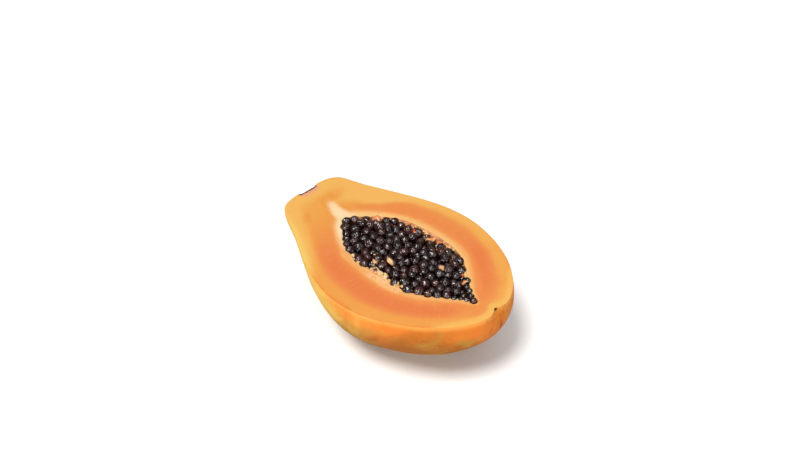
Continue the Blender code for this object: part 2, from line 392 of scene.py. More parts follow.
@dataclass
class Shading:
    """A node tree with short calls that place and link its nodes."""

    tree: bpy.types.NodeTree
    column: int = 0

    def add(self, kind: str, feeds: dict | None = None, **settings: object) -> bpy.types.Node:
        """Places a node.

        Args:
            kind: The node's type name.
            feeds: An output socket, a number or a colour for each input that gets one.
            settings: Values for the node's own properties.

        Returns:
            The node.
        """
        node = self.tree.nodes.new(kind)
        node.location = (180 * self.column, -60 * (self.column % 5))
        self.column += 1
        for key, value in settings.items():
            setattr(node, key, value)
        for key, value in (feeds or {}).items():
            self.feed(node.inputs[key], value)
        return node

    def feed(self, socket: bpy.types.NodeSocket, value: object) -> None:
        """Links a socket to another, or sets its value.

        Args:
            socket: The input socket.
            value: An output socket, a number or a colour.
        """
        if isinstance(value, bpy.types.NodeSocket):
            self.tree.links.new(value, socket)
        else:
            socket.default_value = (*value, 1.0) if socket.type == "RGBA" else value

    def maths(self, operation: str, *numbers: object) -> object:
        """Works out a number with an operation of the Math node."""
        return self.add("ShaderNodeMath", dict(enumerate(numbers)), operation=operation).outputs[0]

    def times(self, first: object, second: object) -> object:
        """Multiplies two numbers."""
        return self.maths("MULTIPLY", first, second)

    def plus(self, base: object, value: object, factor: object) -> object:
        """Adds a value times a factor to a base."""
        return self.maths("MULTIPLY_ADD", value, factor, base)

    def span(self, value: object, low: float, high: float, start: float = 0, end: float = 1) -> object:
        """Maps a number smoothly from the range of low to high onto the one of start to end."""
        feeds = {"Value": value, "From Min": low, "From Max": high, "To Min": start, "To Max": end}
        return self.add("ShaderNodeMapRange", feeds, interpolation_type="SMOOTHSTEP").outputs["Result"]

    def mix(self, base: object, top: object, share: object) -> object:
        """Lays a colour over another one, as strongly as the share says."""
        return self.add("ShaderNodeMix", {"Factor": share, 6: base, 7: top}, data_type="RGBA").outputs[2]

    def tint(self, base: object, top: object, value: object, *ends: float) -> object:
        """Lays a colour over another one by a number, which is first mapped as span does."""
        return self.mix(base, top, self.span(value, *ends))

    def ramp(self, value: object, stops: Sequence[tuple[float, Colour]]) -> object:
        """Runs a number through a colour ramp.

        Args:
            value: The number.
            stops: Places and colours.

        Returns:
            The colour's socket.
        """
        node = self.add("ShaderNodeValToRGB", {"Fac": value})
        node.color_ramp.interpolation = "EASE"
        marks = node.color_ramp.elements
        while len(marks) < len(stops):
            marks.new(0.5)
        for mark, (place, colour) in zip(marks, stops):
            mark.position, mark.color = place, (*colour, 1.0)
        return node.outputs["Color"]

    def noise(
        self, vector: object, rate: object, detail: float = 3.0, rough: float = 0.5, warp: float = 0.0
    ) -> object:
        """Reads noise, with its scale, its finer layers, how strong those are and how distorted it is."""
        feeds = {"Vector": vector, "Scale": rate, "Detail": detail, "Roughness": rough, "Distortion": warp}
        return self.add("ShaderNodeTexNoise", feeds).outputs["Fac"]

    def cells(self, vector: object, rate: object, smoothness: float) -> object:
        """Reads how far it is to the middle of the nearest cell, where cells may run together smoothly."""
        more, kind = ({"Smoothness": smoothness}, "SMOOTH_F1") if smoothness else ({}, "F1")
        node = self.add("ShaderNodeTexVoronoi", {"Vector": vector, "Scale": rate, **more}, feature=kind)
        return node.outputs["Distance"]

    def bump(self, height: object, distance: float, strength: float) -> object:
        """Tilts the normal by a height, where a value of 1 is the distance in metres."""
        feeds = {"Height": height, "Distance": distance, "Strength": strength}
        return self.add("ShaderNodeBump", feeds).outputs["Normal"]

    def place(self) -> object:
        """Gives the object coordinates."""
        return self.add("ShaderNodeTexCoord").outputs["Object"]

    def stretched(self, vector: object, scale: Colour) -> object:
        """Multiplies coordinates by a factor along each axis."""
        return self.add("ShaderNodeMapping", {"Vector": vector, "Scale": scale}).outputs["Vector"]

    def stored(self, name: str) -> object:
        """Gives a number that is stored at the mesh's points."""
        return self.add("ShaderNodeAttribute", attribute_name=name).outputs["Fac"]


class SharedEffects:
    """Node groups that more than one finish uses, each built once."""

    made: dict[str, bpy.types.NodeTree] = {}

    @classmethod
    def group(cls, nodes: Shading, name: str, result: str, inputs: dict, fill: Callable) -> object:
        """Places a node group, and builds it the first time.

        Args:
            nodes: The material's shading.
            name: The group's name.
            result: What it puts out.
            inputs: What goes into each of its inputs. The one called Vector is a vector.
            fill: Called with the group's shading and its inputs, to give what it puts out.

        Returns:
            The result's socket.
        """
        if name not in cls.made:
            tree = cls.made[name] = bpy.data.node_groups.new(name, "ShaderNodeTree")
            for label in inputs:
                kind = "NodeSocketVector" if label == "Vector" else "NodeSocketFloat"
                tree.interface.new_socket(name=label, in_out="INPUT", socket_type=kind)
            tree.interface.new_socket(name=result, in_out="OUTPUT", socket_type="NodeSocketFloat")
            inside = Shading(tree)
            start = inside.add("NodeGroupInput")
            value = fill(inside, *(start.outputs[label] for label in inputs))
            inside.add("NodeGroupOutput", {result: value})
        return nodes.add("ShaderNodeGroup", inputs, node_tree=cls.made[name]).outputs[result]

    @staticmethod
    def mottle(inside: Shading, vector: object, size: object, contrast: object) -> object:
        """Reads a broad noise and sets its contrast."""
        broad = inside.noise(vector, inside.maths("DIVIDE", 1.0, size), 4.0, 0.6, 0.4)
        return inside.plus(0.5, inside.maths("SUBTRACT", broad, 0.5), inside.plus(0.6, contrast, 5.0))

    @staticmethod
    def grain(inside: Shading, vector: object, size: object) -> object:
        """Lays rounded cells over fine noise."""
        rate = inside.maths("DIVIDE", 1.0, size)
        fine = inside.noise(vector, inside.times(rate, 0.6), 5.0)
        return inside.plus(fine, inside.cells(vector, rate, 1.0), 0.4)

    @classmethod
    def grown_mottle(cls, nodes: Shading, vector: object, size: float, contrast: float) -> object:
        """Places the soft uneven blotches that a grown surface has, as a mask of about 0.5."""
        inputs = {"Vector": vector, "Size": size, "Contrast": contrast}
        return cls.group(nodes, "grown_mottle", "Mask", inputs, cls.mottle)

    @classmethod
    def moist_grain(cls, nodes: Shading, vector: object, size: float) -> object:
        """Places the fine pitted grain of moist tissue, as a height from 0 to 1."""
        return cls.group(nodes, "moist_grain", "Height", {"Vector": vector, "Size": size}, cls.grain)


def new_finish(name: str, **constants: object) -> tuple[bpy.types.Material, Shading, bpy.types.Node]:
    """Starts a material.

    Args:
        name: Its name.
        constants: Values for the shader's sockets, with spaces as underscores.

    Returns:
        The material, its shading and its Principled shader.
    """
    material = bpy.data.materials.new(name)
    material.use_nodes = True
    shader = material.node_tree.nodes["Principled BSDF"]
    for key, value in constants.items():
        shader.inputs[key.replace("_", " ")].default_value = value
    return material, Shading(material.node_tree), shader


@dataclass(frozen=True)
class SkinFinish:
    """Thin waxy ripe skin: pale yellow at the neck, golden to orange at the belly, olive and brown below, where
    the darker brown is partly the skin's own colour and partly painted shade.
    """

    neck: Colour = tone(221, 178, 90)
    side: Colour = tone(221, 176, 80)
    belly: Colour = tone(222, 120, 36)
    blossom: Colour = tone(204, 111, 28)
    below: Colour = tone(140, 82, 10)
    green: Colour = tone(164, 136, 50)
    speck: Colour = tone(224, 188, 109)
    rim: Colour = tone(223, 162, 76)
    dark: Colour = tone(59, 34, 17)
    crease: Colour = tone(118, 62, 24)
    cork: Colour = tone(169, 111, 76)

    def build(self) -> bpy.types.Material:
        """Builds the material."""
        material, nodes, shader = new_finish(
            "papaya_skin", Roughness=0.5, Specular_IOR_Level=0.0, Coat_Weight=0.14, Coat_IOR=2.0
        )
        place, along, depth = nodes.place(), nodes.stored("along"), nodes.stored("below_cut")
        blotch = SharedEffects.grown_mottle(nodes, place, 34 * MM, 0.4)
        away = nodes.maths("SUBTRACT", blotch, 0.5)
        drift = nodes.plus(nodes.plus(along, away, 0.2), depth, -3.0)
        # The blossom colour's deeper orange brown is partly the skin's own colour and partly painted shade, as
        # that end turns away from the light.
        stops = (
            (0.0, self.neck), (0.2, self.neck), (0.5, self.side), (0.72, self.belly), (0.95, self.blossom)
        )
        colour = nodes.ramp(drift, stops)
        # Painted shade: the skin darkens to olive brown further below the cut and more towards the blossom end,
        # partly its own colour and partly the shade that falls on the underside.
        under = nodes.plus(depth, away, 0.02)
        under = nodes.maths("ADD", under, nodes.span(along, 0.55, 0.9, 0.0, 0.010))
        colour = nodes.tint(colour, self.below, under, 0.008, 0.036, 0.0, 0.9)
        patches = SharedEffects.grown_mottle(nodes, nodes.stretched(place, (0.5, 1.0, 1.0)), 22 * MM, 0.8)
        green = nodes.times(nodes.span(patches, 0.5, 1.1, 0.0, 0.45), nodes.span(under, 0.004, 0.022))
        olive = nodes.times(nodes.span(under, 0.007, 0.022, 0.0, 0.4), nodes.span(along, 0.38, 0.62, 1.0, 0.0))
        colour = nodes.mix(nodes.mix(colour, self.green, green), self.green, olive)
        colour = nodes.tint(colour, self.rim, depth, 0.0, 0.004, 0.6, 0.0)
        colour = nodes.tint(colour, self.speck, nodes.cells(place, 1 / (5 * MM), 0.0), 0.05, 0.1, 0.3, 0.0)
        colour = nodes.tint(colour, self.dark, nodes.noise(place, 1 / (0.9 * MM), 2.0), 0.62, 0.8, 0.0, 0.14)
        colour = nodes.tint(colour, self.below, nodes.stored("pucker"), 0.1, 1.0, 0.0, 0.5)
        # Darker brown radial streaks round the blossom scar, broken up by noise.
        crease_streaks = nodes.times(nodes.stored("crease"), nodes.span(nodes.noise(place, 1 / (2.6 * MM)), 0.35, 0.65))
        colour = nodes.tint(colour, self.crease, crease_streaks, 0.0, 0.9, 0.0, 0.75)
        scar = nodes.plus(nodes.stored("stem_scar"), nodes.noise(place, 1 / (1.2 * MM)), 0.5)
        colour = nodes.tint(colour, self.cork, scar, 0.55, 0.75)
        bark = nodes.plus(nodes.stored("scar_edge"), nodes.noise(place, 1 / (0.7 * MM), 4.0), 0.7)
        colour = nodes.tint(colour, self.dark, bark, 0.75, 1.05)
        nodes.feed(shader.inputs["Base Color"], colour)
        grain = SharedEffects.moist_grain(nodes, place, 0.9 * MM)
        height = nodes.plus(grain, nodes.noise(place, 1 / (7 * MM), 2.0), 2.0)
        for socket in ("Normal", "Coat Normal"):
            nodes.feed(shader.inputs[socket], nodes.bump(height, 0.05 * MM, 0.5))
        nodes.feed(shader.inputs["Coat Roughness"], nodes.span(blotch, 0.0, 1.0, 0.32, 0.46))
        return material


@dataclass(frozen=True)
class CutFinish:
    """Moist cut flesh: cream at the hollow and along the core, coral in the middle and yellow at the skin."""

    cream: Colour = tone(234, 204, 160)
    straw: Colour = tone(228, 182, 116)
    inner: Colour = tone(222, 156, 90)
    deep: Colour = tone(218, 134, 66)
    coral: Colour = tone(213, 116, 62)
    middle: Colour = tone(218, 136, 68)
    outer: Colour = tone(219, 146, 66)
    edge: Colour = tone(214, 129, 50)
    pale: Colour = tone(223, 168, 85)
    neck: Colour = tone(219, 153, 67)
    neck_deep: Colour = tone(215, 138, 52)
    lime: Colour = tone(222, 184, 94)
    fibre: Colour = tone(228, 160, 101)
    pink: Colour = tone(219, 149, 120)
    cork: Colour = tone(57, 30, 13)
    shred: Colour = tone(232, 184, 132)
    fleck: Colour = tone(112, 58, 38)

    def build(self) -> bpy.types.Material:
        """Builds the material."""
        material, nodes, shader = new_finish(
            "papaya_cut_flesh", Roughness=0.38, Subsurface_Weight=0.15, Subsurface_Radius=FLESH_GLOW,
            Subsurface_Scale=0.4, Specular_IOR_Level=0.4,
        )
        place = nodes.place()
        away = nodes.maths("SUBTRACT", SharedEffects.grown_mottle(nodes, place, 16 * MM, 0.3), 0.5)
        stops = (
            (0.0, self.inner), (0.08, self.inner), (0.2, self.deep), (0.6, self.middle), (0.78, self.outer),
            (0.93, self.outer), (1.0, self.edge),
        )
        colour = nodes.ramp(nodes.plus(nodes.stored("across"), away, 0.12), stops)
        colour = nodes.mix(colour, self.coral, nodes.stored("coral"))
        patches = SharedEffects.grown_mottle(nodes, nodes.stretched(place, (0.6, 1.0, 1.0)), 13 * MM, 0.7)
        neck = nodes.tint(self.neck, self.neck_deep, patches, 0.3, 0.9, 0.0, 0.8)
        colour = nodes.mix(colour, neck, nodes.times(nodes.stored("neck"), 0.9))
        halo = nodes.tint(self.straw, self.cream, nodes.stored("whiter"), 0.0, 1.0)
        # The first pale layer, on the outer flesh of the far side and the neck, is partly the outer flesh's own
        # yellower tone and partly painted light from the upper left.
        for top, name, uneven, start in (
            (self.pale, "painted_light_side", 0.3, 0.05), (self.lime, "lime", 0.3, 0.1), (halo, "cream", 0.35, 0.05)
        ):
            colour = nodes.tint(colour, top, nodes.plus(nodes.stored(name), away, uneven), start, 1.0)
        outward = nodes.times(nodes.stored("from_skin"), 0.12)
        radial = nodes.add("ShaderNodeCombineXYZ", {0: nodes.stored("round_hollow"), 1: outward})
        streaks = nodes.noise(radial.outputs[0], 1 / (1.3 * MM), 3.0, 0.6)
        colour = nodes.tint(colour, self.fibre, streaks, 0.5, 0.8, 0.0, 0.22)
        colour = nodes.tint(colour, self.pink, nodes.stored("pink"), 0.0, 1.0)
        torn, shreds = nodes.stored("torn"), nodes.noise(place, 1 / (2.2 * MM), 4.0, 0.65, 0.6)
        colour = nodes.mix(colour, self.shred, nodes.times(torn, nodes.span(shreds, 0.36, 0.6, 0.15, 0.85)))
        flecks = nodes.span(nodes.noise(place, 1 / (1.1 * MM), 2.0, 0.5, 0.5), 0.63, 0.7)
        colour = nodes.mix(colour, self.fleck, nodes.times(nodes.span(torn, 0.45, 0.9, 0.0, 0.8), flecks))
        ragged = nodes.plus(nodes.stored("cork_line"), nodes.noise(place, 1 / (1.8 * MM), 3.0, 0.6), 0.9)
        colour = nodes.tint(colour, self.cork, ragged, 0.86, 1.1)
        nodes.feed(shader.inputs["Base Color"], colour)
        grain = SharedEffects.moist_grain(nodes, place, 0.7 * MM)
        knife = nodes.noise(nodes.stretched(place, (1.0, 0.18, 1.0)), 1 / (5 * MM), 3.0)
        height = nodes.plus(nodes.plus(grain, knife, 1.6), streaks, 0.6)
        height = nodes.plus(height, nodes.times(torn, shreds), 12.0)
        nodes.feed(shader.inputs["Normal"], nodes.bump(height, 0.05 * MM, 0.5))
        nodes.feed(shader.inputs["Roughness"], nodes.span(grain, 0.2, 0.9, 0.3, 0.46))
        return material


@dataclass(frozen=True)
class HollowFinish:
    """The hollow's wall: pale ridges between the seeds, and red-orange flesh in the pits that they leave,
    turning dark red and then near black further below the cut; the dark red is partly the flesh's own colour
    and partly painted shade, and the near black is painted shade deep in the hollow.
    """

    ridge: Colour = tone(232, 172, 116)
    pit: Colour = tone(214, 92, 46)
    low: Colour = tone(155, 46, 24)
    deep: Colour = tone(63, 19, 12)

    def build(self) -> bpy.types.Material:
        """Builds the material."""
        material, nodes, shader = new_finish(
            "papaya_hollow_wall", Roughness=0.3, Subsurface_Weight=0.25, Subsurface_Radius=FLESH_GLOW,
            Subsurface_Scale=0.4, Coat_Weight=0.3, Coat_Roughness=0.12,
        )
        place = nodes.place()
        away = nodes.maths("SUBTRACT", SharedEffects.grown_mottle(nodes, place, 4 * MM, 0.5), 0.5)
        depth = nodes.plus(nodes.stored("below_cut"), away, 0.004)
        colour = nodes.tint(self.pit, self.ridge, nodes.plus(nodes.stored("ridge"), away, 0.7), 0.1, 0.8)
        # Painted shade: darker red from 2 mm below the cut, partly the flesh's own deeper red, and near black
        # from 6 mm, as if shade fell deep in the hollow.
        colour = nodes.tint(colour, self.low, depth, 0.002, 0.007)
        colour = nodes.tint(colour, self.deep, depth, 0.006, 0.013)
        nodes.feed(shader.inputs["Base Color"], colour)
        grain = SharedEffects.moist_grain(nodes, place, 0.8 * MM)
        nodes.feed(shader.inputs["Normal"], nodes.bump(grain, 0.12 * MM, 0.8))
        return material


@dataclass(frozen=True)
class SeedFinish:
    """Near-black wrinkled seeds in a wet clear film, some of them a little brown or purple, with lighter brown
    on their folds that is partly their own colour and partly a painted highlight of the wet wrinkles.
    """

    black: Colour = tone(25, 9, 6)
    brown: Colour = tone(60, 27, 18)
    purple: Colour = tone(44, 18, 20)
    fold: Colour = tone(78, 40, 32)

    def build(self) -> bpy.types.Material:
        """Builds the material."""
        material, nodes, shader = new_finish(
            "papaya_seed", Roughness=0.5, Specular_IOR_Level=0.0, Coat_Weight=1.0, Coat_Roughness=0.03,
            Coat_IOR=1.8,
        )
        place = nodes.place()
        stops = ((0.0, self.black), (0.5, self.black), (0.72, self.purple), (1.0, self.brown))
        soft = nodes.noise(place, 1 / (1.6 * MM), 3.0, 0.55, 0.8)
        # The lighter brown on the folds is partly the seeds' own colour and partly a painted highlight,
        # standing in for glints on wet wrinkles.
        colour = nodes.tint(nodes.ramp(nodes.stored("shade"), stops), self.fold, soft, 0.5, 0.75, 0.0, 0.4)
        nodes.feed(shader.inputs["Base Color"], colour)
        pebble = nodes.maths("SUBTRACT", 1.0, nodes.cells(place, 1 / (0.9 * MM), 0.35))
        height = nodes.plus(pebble, soft, 2.0)
        nodes.feed(shader.inputs["Normal"], nodes.bump(height, 0.2 * MM, 0.8))
        nodes.feed(shader.inputs["Coat Normal"], nodes.bump(height, 0.1 * MM, 0.8))
        return material


@dataclass(frozen=True)
class TissueFinish:
    """Pale wet scraps of the tissue that held the seeds."""

    pale: Colour = tone(228, 189, 133)
    peach: Colour = tone(222, 146, 100)
    salmon: Colour = tone(222, 104, 62)
    crimson: Colour = tone(150, 34, 26)

    def build(self) -> bpy.types.Material:
        """Builds the material."""
        material, nodes, shader = new_finish(
            "papaya_tissue", Roughness=0.3, Subsurface_Weight=0.3, Subsurface_Radius=(0.006, 0.003, 0.001),
            Subsurface_Scale=0.4, Coat_Weight=0.3, Coat_Roughness=0.1,
        )
        place, redness = nodes.place(), nodes.stored("redness")
        mottle = SharedEffects.grown_mottle(nodes, place, 3 * MM, 0.7)
        colour = nodes.tint(self.pale, self.peach, mottle, 0.3, 1.0)
        colour = nodes.tint(colour, self.salmon, redness, 0.3, 0.7)
        colour = nodes.tint(colour, self.crimson, redness, 0.75, 1.0)
        nodes.feed(shader.inputs["Base Color"], colour)
        grain = SharedEffects.moist_grain(nodes, place, 0.5 * MM)
        nodes.feed(shader.inputs["Normal"], nodes.bump(grain, 0.12 * MM, 0.8))
        return material


@dataclass
class SeedBed:
    """The crowd of seeds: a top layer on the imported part's own rule, and more below it, shaken together."""

    form: FruitForm
    placing: Placing
    seed: int = 11
    radius: tuple[float, float] = (2.55 * MM, 3.75 * MM)
    top_count: int = 128
    lower_count: int = 190
    stations: tuple[float, float] = (0.262, 0.922)
    levels: tuple[float, float] = (-1.9 * MM, 0.3 * MM)
    lower_levels: tuple[float, float] = (-11 * MM, -4.6 * MM)
    highest: float = 2.88 * MM
    snug: float = 0.93
    heap_height: float = 1.6 * MM
    heap_size: float = 14 * MM
    plumpness: float = 1.06
    tip_seeds: tuple = (
        (135.0, 2.6), (137.5, -6.8), (139.0, 0.0), (140.5, -4.2), (142.8, -1.4), (144.2, -4.0), (146.2, -3.0)
    )
    tip_radius: float = 2.1 * MM
    tip_level: float = -0.8 * MM
    wall_gaps: tuple = ((44, 54, 5.0), (86, 100, 3.6), (107, 129, 4.2))
    torn_sink: float = 2.2
    clearance: float = 0.9
    tip_clearance: float = 0.55
    rounds: int = 150
    apart_step: float = 0.3
    level_step: float = 0.05
    wall_step: float = 0.7
    shapes: int = 12
    centres: np.ndarray = field(default_factory=lambda: np.zeros((0, 3)))
    radii: np.ndarray = field(default_factory=lambda: np.zeros(0))

    def wall(self) -> BVHTree:
        """Builds a searchable copy of the hollow's smooth wall, carried on a little above the cut."""
        count, angles = 61, np.linspace(-math.pi - 0.35, 0.35, 49)
        corners = [k for k in range(count * (len(angles) - 1)) if (k + 1) % count]
        faces = [(k, k + 1, k + count + 1, k + count) for k in corners]
        return BVHTree.FromPolygons([tuple(p) for p in self.form.lines(Region.HOLLOW, count, angles)], faces)

    def scatter(self, rng: np.random.Generator, count: int) -> np.ndarray:
        """Throws seeds over the hollow in plan.

        Args:
            rng: The source of random numbers.
            count: How many seeds.

        Returns:
            x and y of each, one to a row.
        """
        profile = self.form.profile(Region.HOLLOW, 200)
        low, high = (share * self.form.length for share in self.stations)
        spots = []
        while len(spots) < count:
            x, side, keep = rng.uniform(low, high), rng.uniform(-0.9, 0.9), rng.random()
            half = np.interp(x, profile[:, 0], profile[:, 1])
            if keep < half / self.form.hollow_half_width:
                spots.append((x, float(self.form.hollow_middle(np.array([x]))[0]) + side * half))
        return np.array(spots)

    def shake(self) -> None:
        """Places all seeds, and pushes them apart and off the wall until they lie snug."""
        rng = np.random.default_rng(self.seed)
        flat = np.vstack([self.scatter(rng, count) for count in (self.top_count, self.lower_count)])
        levels = np.concatenate([
            rng.uniform(*self.levels, self.top_count), rng.uniform(*self.lower_levels, self.lower_count)
        ])
        centres = np.column_stack([flat, levels])
        heap = self.heap_height * lumps(centres * (1, 1, 0), self.heap_size, 6.0)
        x = centres[:, 0]
        half = np.interp(x, *self.form.profile(Region.HOLLOW, 200).T)
        side = (centres[:, 1] - self.form.hollow_middle(x)) / half
        dip = np.zeros(len(centres))
        for start, end, drop in self.wall_gaps:
            inside = ease(x, (start - 3) * MM, (start + 1) * MM)
            dip = np.maximum(dip, drop * inside * fade(x, (end - 1) * MM, (end + 3) * MM))
        dip *= ease(side, 0.45, 0.75)
        torn = ease(-side, 0.45, 0.8) * ease(x, 83 * MM, 91 * MM) * fade(x, 103 * MM, 112 * MM)
        levels = levels + heap - MM * dip - self.torn_sink * MM * torn
        clearance = self.clearance + 0.04 * dip
        radii = rng.uniform(*self.radius, len(centres))
        radii *= np.interp(x, (0.82 * self.form.length, self.form.length * 0.92), (1.0, 0.78))
        for i, spot in enumerate(self.tip_seeds):
            centres[i] = (*(np.array(spot) * MM), self.tip_level)
            radii[i], levels[i] = self.tip_radius * rng.uniform(0.85, 1.1), self.tip_level
            clearance[i] = self.tip_clearance
        reach = radii[:, None] + radii[None, :]
        wall = self.wall()
        middle = Vector((0.6 * self.form.length, float(self.form.hollow_shift[1]), -8 * MM))
        for _ in range(self.rounds):
            apart = centres[:, None] - centres[None, :]
            distance = np.linalg.norm(apart, axis=2) + np.eye(len(centres))
            overlap = np.clip(reach * self.snug - distance, 0.0, None) * (1 - np.eye(len(centres)))
            centres += (apart * (overlap / distance)[..., None]).sum(1) * self.apart_step
            centres[:, 2] += (levels - centres[:, 2]) * self.level_step
            for i, centre in enumerate(centres):
                spot, normal, _, _ = wall.find_nearest(Vector(centre))
                inward = normal if normal.dot(middle - spot) > 0 else -normal
                depth = (Vector(centre) - spot).dot(inward)
                if depth < radii[i] * clearance[i]:
                    centres[i] += np.array(inward) * (radii[i] * clearance[i] - depth) * self.wall_step
            centres[:, 2] = np.minimum(centres[:, 2], self.highest - self.plumpness * radii)
        self.centres, self.radii = centres, radii

    def model(self, number: int, fineness: int) -> Object:
        """Models one seed: an egg-shaped body with shallow folds and a blunt tip.

        Args:
            number: Which of the shapes.
            fineness: How often its faces are divided.

        Returns:
            The seed, of radius 1, at the origin.
        """
        bpy.ops.mesh.primitive_ico_sphere_add(subdivisions=fineness, radius=1.0)
        seed = bpy.context.object
        points = Bench.points(seed)
        slim = np.random.default_rng(self.seed + 50 + number).uniform(0.78, 0.96, 2)
        folds, finer = (
            np.clip(np.abs(lumps(points, size, first + 5 * number)) * 4.5, 0.0, 1.0)
            for size, first in ((0.55, 2.0), (0.3, 4.0))
        )
        swell = 1 + 0.19 * (folds - 1) + 0.07 * (finer - 1) + 0.05 * lumps(points, 1.1, 7.0 + 3 * number)
        tip = 1 - 0.12 * ease(points[:, 2], 0.3, 1.0)
        squeeze = np.column_stack([slim[0] * tip, slim[1] * tip, np.ones(len(points))])
        points = points * swell[:, None] * squeeze
        Bench.set_points(seed, points / np.linalg.norm(points, axis=1).max())
        return seed

    def build(self) -> None:
        """Makes all the seeds, as one piece. Those that are hidden below have fewer faces."""
        fine, plain = ([self.model(number, fineness) for number in range(self.shapes)] for fineness in (4, 2))
        rng = np.random.default_rng(self.seed + 1)
        spots = (
            ((fine if i < self.top_count else plain)[i % self.shapes], centre, rng.uniform(0.0, math.tau, 3),
             radius * self.plumpness, rng.random())
            for i, (centre, radius) in enumerate(zip(self.placing.move(self.centres), self.radii))
        )
        seeds = Bench.crowd("seed_crowd", fine + plain, spots, "shade")
        seeds.data.materials.append(SeedFinish().build())
        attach(seeds, "root")
        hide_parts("seeds")
        LOG.info("%s: %d seeds, %d faces", seeds.name, len(self.radii), len(seeds.data.polygons))


@dataclass
class HalfFruit:
    """Flesh and skin grown as one: the skin shell, the cut face and the hollow's wall in one closed mesh."""

    form: FruitForm
    placing: Placing
    bed: SeedBed
    stations: int = 132
    around: int = 72
    rings_across: int = 24
    ridge_height: float = 1.0 * MM
    tear: tuple[float, float] = (86 * MM, 112 * MM)
    tear_reach: float = 2.4 * MM
    rim_round: float = 0.35 * MM
    sphere_slack: float = 1e-5
    dents: tuple[float, float] = (0.45 * MM, 0.12 * MM)
    blossom_puckers: tuple[int, float] = (16, 0.45 * MM)
    stem_puckers: tuple[int, float] = (15, 0.30 * MM)
    seed_gap: float = 0.25 * MM
    rim_press: float = 1.6 * MM
    cut_follows: float = 7 * MM

    def shell(self, region: Region) -> Object:
        """Models the skin or the hollow's wall from half a sphere.

        Args:
            region: SKIN or HOLLOW.

        Returns:
            The open shell, in the fruit's own frame.
        """
        bpy.ops.mesh.primitive_uv_sphere_add(segments=2 * self.around, ring_count=self.stations, radius=1.0)
        shell = bpy.context.object
        with Bench.editing(shell, "DESELECT"):
            bpy.ops.mesh.select_mode(type="VERT")
        shell.data.vertices.foreach_set("select", Bench.points(shell)[:, 1] > self.sphere_slack)
        bpy.ops.object.mode_set(mode="EDIT")
        bpy.ops.mesh.delete(type="VERT")
        bpy.ops.object.mode_set(mode="OBJECT")
        points = Bench.points(shell)
        x, y, _ = points.T
        angle = np.arctan2(np.minimum(y, 0.0), x)
        angle = np.where(np.abs(y) < self.sphere_slack, np.where(x >= 0, 0.0, -math.pi), angle)
        profile = self.form.profile(region, self.stations + 1)[Bench.ring_of(points, self.stations)]
        if region is Region.SKIN:
            Bench.set_points(shell, self.weathered(self.form.skin(profile, angle), profile, angle))
        else:
            Bench.set_points(shell, self.form.hollow(profile, angle))
            with Bench.editing(shell, "SELECT"):
                bpy.ops.mesh.flip_normals()
        return shell

    def weathered(self, points: np.ndarray, profile: np.ndarray, angle: np.ndarray) -> np.ndarray:
        """Adds soft dents, and puckers at the blossom scar and at the stem scar.

        Args:
            points: Points of the plain skin.
            profile: Station and radius of each.
            angle: Angle of each about the axis.

        Returns:
            The points, drawn in here and there. The rim stays in the cut plane.
        """
        x, radius = profile.T
        share = x / self.form.length
        outward = points - np.column_stack([x, np.full(len(x), -self.form.bow * 0.7), np.zeros(len(x))])
        outward /= np.linalg.norm(outward, axis=1)[:, None] + TINY
        broad, fine = self.dents
        dents = broad * (lumps(points, 26 * MM, 4.0) - 0.25) + fine * lumps(points, 8 * MM, 9.0)
        near_blossom = fade(radius, 3 * MM, 20 * MM) * (share > 0.5) * ease(radius, 0.4 * MM, 3 * MM)
        near_stem = fade(radius, 9 * MM, 20 * MM) * (share < 0.5) * ease(radius, 5 * MM, 8 * MM)
        wander = 1.6 * lumps(points, 9 * MM, 13.0)
        puckers = np.zeros(len(x))
        for near, (count, deep) in ((near_blossom, self.blossom_puckers), (near_stem, self.stem_puckers)):
            puckers += deep * near * (np.cos(count * angle + wander) - 1)
        dents *= ease(-points[:, 2], 0.0, 12 * MM)
        moved = points + outward * ((dents + puckers) * ease(radius, 0.0, 2 * MM))[:, None]
        moved[:, 2] = np.where(np.abs(points[:, 2]) < IN_PLANE, 0.0, np.minimum(moved[:, 2], -10 * IN_PLANE))
        return moved

    def pitted(self, wall: np.ndarray) -> tuple[np.ndarray, np.ndarray]:
        """Swells the hollow's wall between the seeds and dents it where they press on it.

        Args:
            wall: The smooth wall's points.

        Returns:
            The moved points, and how much each one belongs to a ridge, from 0 to 1.
        """
        x, _, z = wall.T
        inward = np.column_stack([x, self.form.hollow_middle(x), np.zeros(len(x))]) - wall
        reach = np.linalg.norm(inward, axis=1)
        inward /= reach[:, None] + TINY
        swell = self.ridge_height * ease(reach, 0.5 * MM, 3 * MM) * (1 + 0.5 * lumps(wall, 4 * MM, 21.0))
        torn = hump(x, self.tear[0], self.tear[0] + 5 * MM, self.tear[1] - 5 * MM, self.tear[1])
        torn *= (inward[:, 1] > 0) * fade(-z, 0.5 * MM, 5 * MM)
        swell += self.tear_reach * torn * np.clip(0.55 + 1.3 * lumps(wall, 3.2 * MM, 27.0), 0.0, 1.3)
        moved = wall + inward * swell[:, None]
        at_rim = np.abs(z) < IN_PLANE
        moved[:, 2] = np.where(at_rim, 0.0, moved[:, 2])
        pushed = np.zeros(len(wall))
        for centre, radius in zip(self.bed.centres, self.bed.radii):
            away = moved - centre
            distance = np.linalg.norm(away, axis=1)
            press = np.clip(radius + self.seed_gap - distance, 0.0, None)
            press = np.where(at_rim, np.minimum(press, self.rim_press), press)
            step = away / (distance[:, None] + TINY) * press[:, None]
            step[:, 2] = np.where(at_rim, 0.0, np.minimum(step[:, 2], 0.0))
            moved = moved + step
            pushed = np.maximum(pushed, press)
        return moved, fade(pushed, 0.0, 0.8 * MM)

